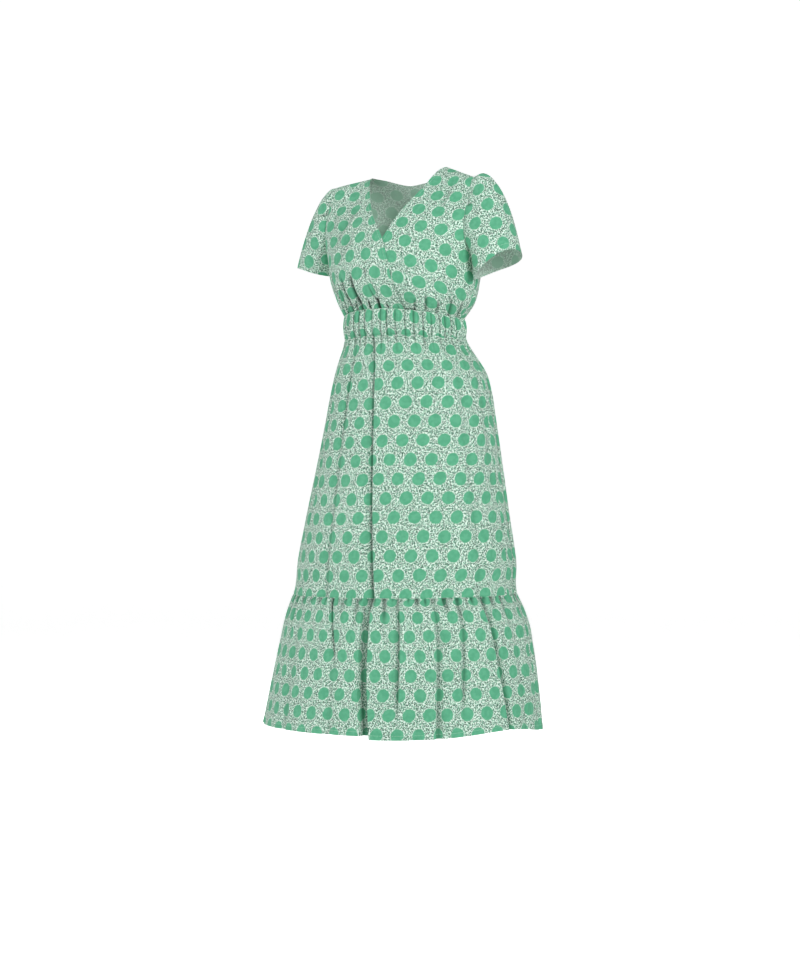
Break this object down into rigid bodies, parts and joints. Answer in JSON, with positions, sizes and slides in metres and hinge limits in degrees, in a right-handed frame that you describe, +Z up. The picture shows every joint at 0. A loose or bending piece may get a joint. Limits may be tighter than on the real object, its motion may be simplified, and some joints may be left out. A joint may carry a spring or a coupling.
{
  "type": "wrap dress",
  "caption": "Short-sleeved midi dress with a wrap-over V-neck bodice, gathered waistband, gathered skirt and deep gathered flounce, hollow as worn.",
  "frame": {"origin": "midway between the shoulders, on the middle plane of the dress, at the mean height of the two points where a shoulder seam meets the neckline; a wearer's shoulders hold the dress up there", "axes": "+Z up, -Y out of the front of the dress, +X towards the wearer's left"},
  "size_m": [0.5983, 0.467, 1.1318],
  "materials": {
    "bodice_front_right": "crisp printed cotton",
    "bodice_front_left": "crisp printed cotton",
    "bodice_back": "crisp printed cotton",
    "sleeve_right": "crisp printed cotton",
    "sleeve_left": "crisp printed cotton",
    "waistband_front": "crisp printed cotton",
    "waistband_back": "crisp printed cotton",
    "skirt_front": "crisp printed cotton",
    "skirt_back": "crisp printed cotton",
    "flounce_front": "crisp printed cotton",
    "flounce_back": "crisp printed cotton"
  },
  "bodies": {
    "root": {"bodice_front_right": "bodice_front_right", "bodice_front_left": "bodice_front_left", "bodice_back": "bodice_back", "sleeve_right": "sleeve_right", "sleeve_left": "sleeve_left", "waistband_front": "waistband_front", "waistband_back": "waistband_back", "skirt_front": "skirt_front", "skirt_back": "skirt_back", "flounce_front": "flounce_front", "flounce_back": "flounce_back"}
  },
  "joints": []
}
